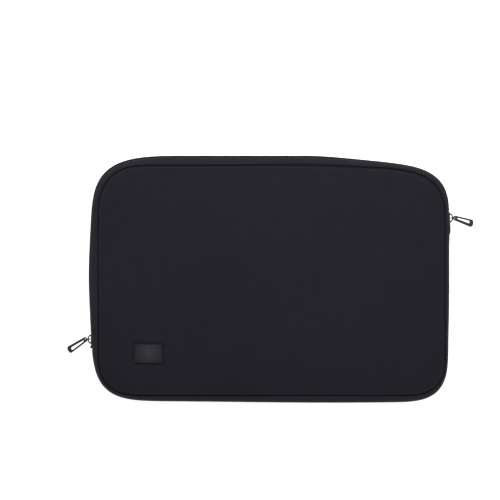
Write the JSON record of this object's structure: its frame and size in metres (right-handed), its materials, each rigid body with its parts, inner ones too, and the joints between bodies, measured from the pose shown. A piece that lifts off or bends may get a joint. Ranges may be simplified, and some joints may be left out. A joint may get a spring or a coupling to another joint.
{
  "type": "laptop sleeve",
  "caption": "Flat padded laptop sleeve of black neoprene with a domed front flap, a rounded side wall, a zip round the upper edge with looped pulls, and a blank patch.",
  "frame": {"origin": "middle of the back panel's flat resting face", "axes": "+X along the sleeve's long side, to the right seen from the front; +Y towards the zip side; +Z out of the front panel"},
  "size_m": [0.4676, 0.2809, 0.0303],
  "materials": {
    "outer_knit": "matte knit-faced neoprene, near black with a violet cast",
    "foam": "closed-cell foam padding",
    "lining": "soft brushed lining",
    "binding": "woven binding tape",
    "gusset_knit": "matte knit-faced neoprene",
    "zip_tape": "woven zip tape",
    "zip_coil": "nylon coil",
    "zip_tab": "folded fabric tab",
    "zip_stop": "black enamelled stop",
    "slider_metal": "gunmetal, satin",
    "label_leather": "embossed blank patch, black"
  },
  "bodies": {
    "back": {"back_outer": "outer_knit", "front_outer_lower": "outer_knit", "back_foam": "foam", "front_foam_lower": "foam", "back_lining": "lining", "front_lining_lower": "lining", "back_binding": "binding", "front_binding_lower": "binding", "lower_gusset": "gusset_knit", "zip_gusset_back": "gusset_knit", "zip_gusset_front_left_end": "gusset_knit", "zip_gusset_front_right_end": "gusset_knit", "zip_tape_back": "zip_tape", "zip_tape_front_left_end": "zip_tape", "zip_tape_front_right_end": "zip_tape", "zip_coil_back": "zip_coil", "zip_coil_front_left_end": "zip_coil", "zip_coil_front_right_end": "zip_coil", "zip_end_tab_left": "zip_tab", "zip_end_tab_right": "zip_tab", "zip_stop_left": "zip_stop", "zip_stop_right": "zip_stop", "label_patch": "label_leather"},
    "flap": {"front_outer_flap": "outer_knit", "front_foam_flap": "foam", "front_lining_flap": "lining", "front_binding_flap": "binding", "zip_gusset_front_flap": "gusset_knit", "zip_tape_front_flap": "zip_tape", "zip_coil_front_flap": "zip_coil"},
    "left_slider": {"left_slider": "slider_metal"},
    "left_link": {"left_link_ring": "slider_metal"},
    "left_pull": {"left_pull": "slider_metal"},
    "right_slider": {"right_slider": "slider_metal"},
    "right_link": {"right_link_ring": "slider_metal"},
    "right_pull": {"right_pull": "slider_metal"}
  },
  "joints": [
    {"name": "flap_fold", "type": "hinge", "parent": "back", "child": "flap", "pos_m": [0.001, 0.01, 0.0292], "axis": [0.9478, 0.319, 0], "range_deg": [0, 115]},
    {"name": "left_slider_travel", "type": "slide", "parent": "back", "child": "left_slider", "axis": [0, 1, 0], "range_m": [0, 0.13]},
    {"name": "left_link_swing", "type": "hinge", "parent": "left_slider", "child": "left_link", "pos_m": [-0.2077, -0.069, 0.014], "axis": [0, 1, 0], "range_deg": [-9, 97]},
    {"name": "left_pull_swing", "type": "hinge", "parent": "left_link", "child": "left_pull", "pos_m": [-0.21075, -0.069, 0.01304], "axis": [-0.3007, 0, 0.9537], "range_deg": [-82, 18]},
    {"name": "right_slider_travel", "type": "slide", "parent": "back", "child": "right_slider", "axis": [0, 1, 0], "range_m": [0, 0.007]},
    {"name": "right_link_swing", "type": "hinge", "parent": "right_slider", "child": "right_link", "pos_m": [0.2097, 0.07, 0.014], "axis": [0, -1, 0], "range_deg": [0, 110]},
    {"name": "right_pull_swing", "type": "hinge", "parent": "right_link", "child": "right_pull", "pos_m": [0.21255, 0.07, 0.01255], "axis": [0.454, 0, 0.891], "range_deg": [-35, 65]}
  ]
}
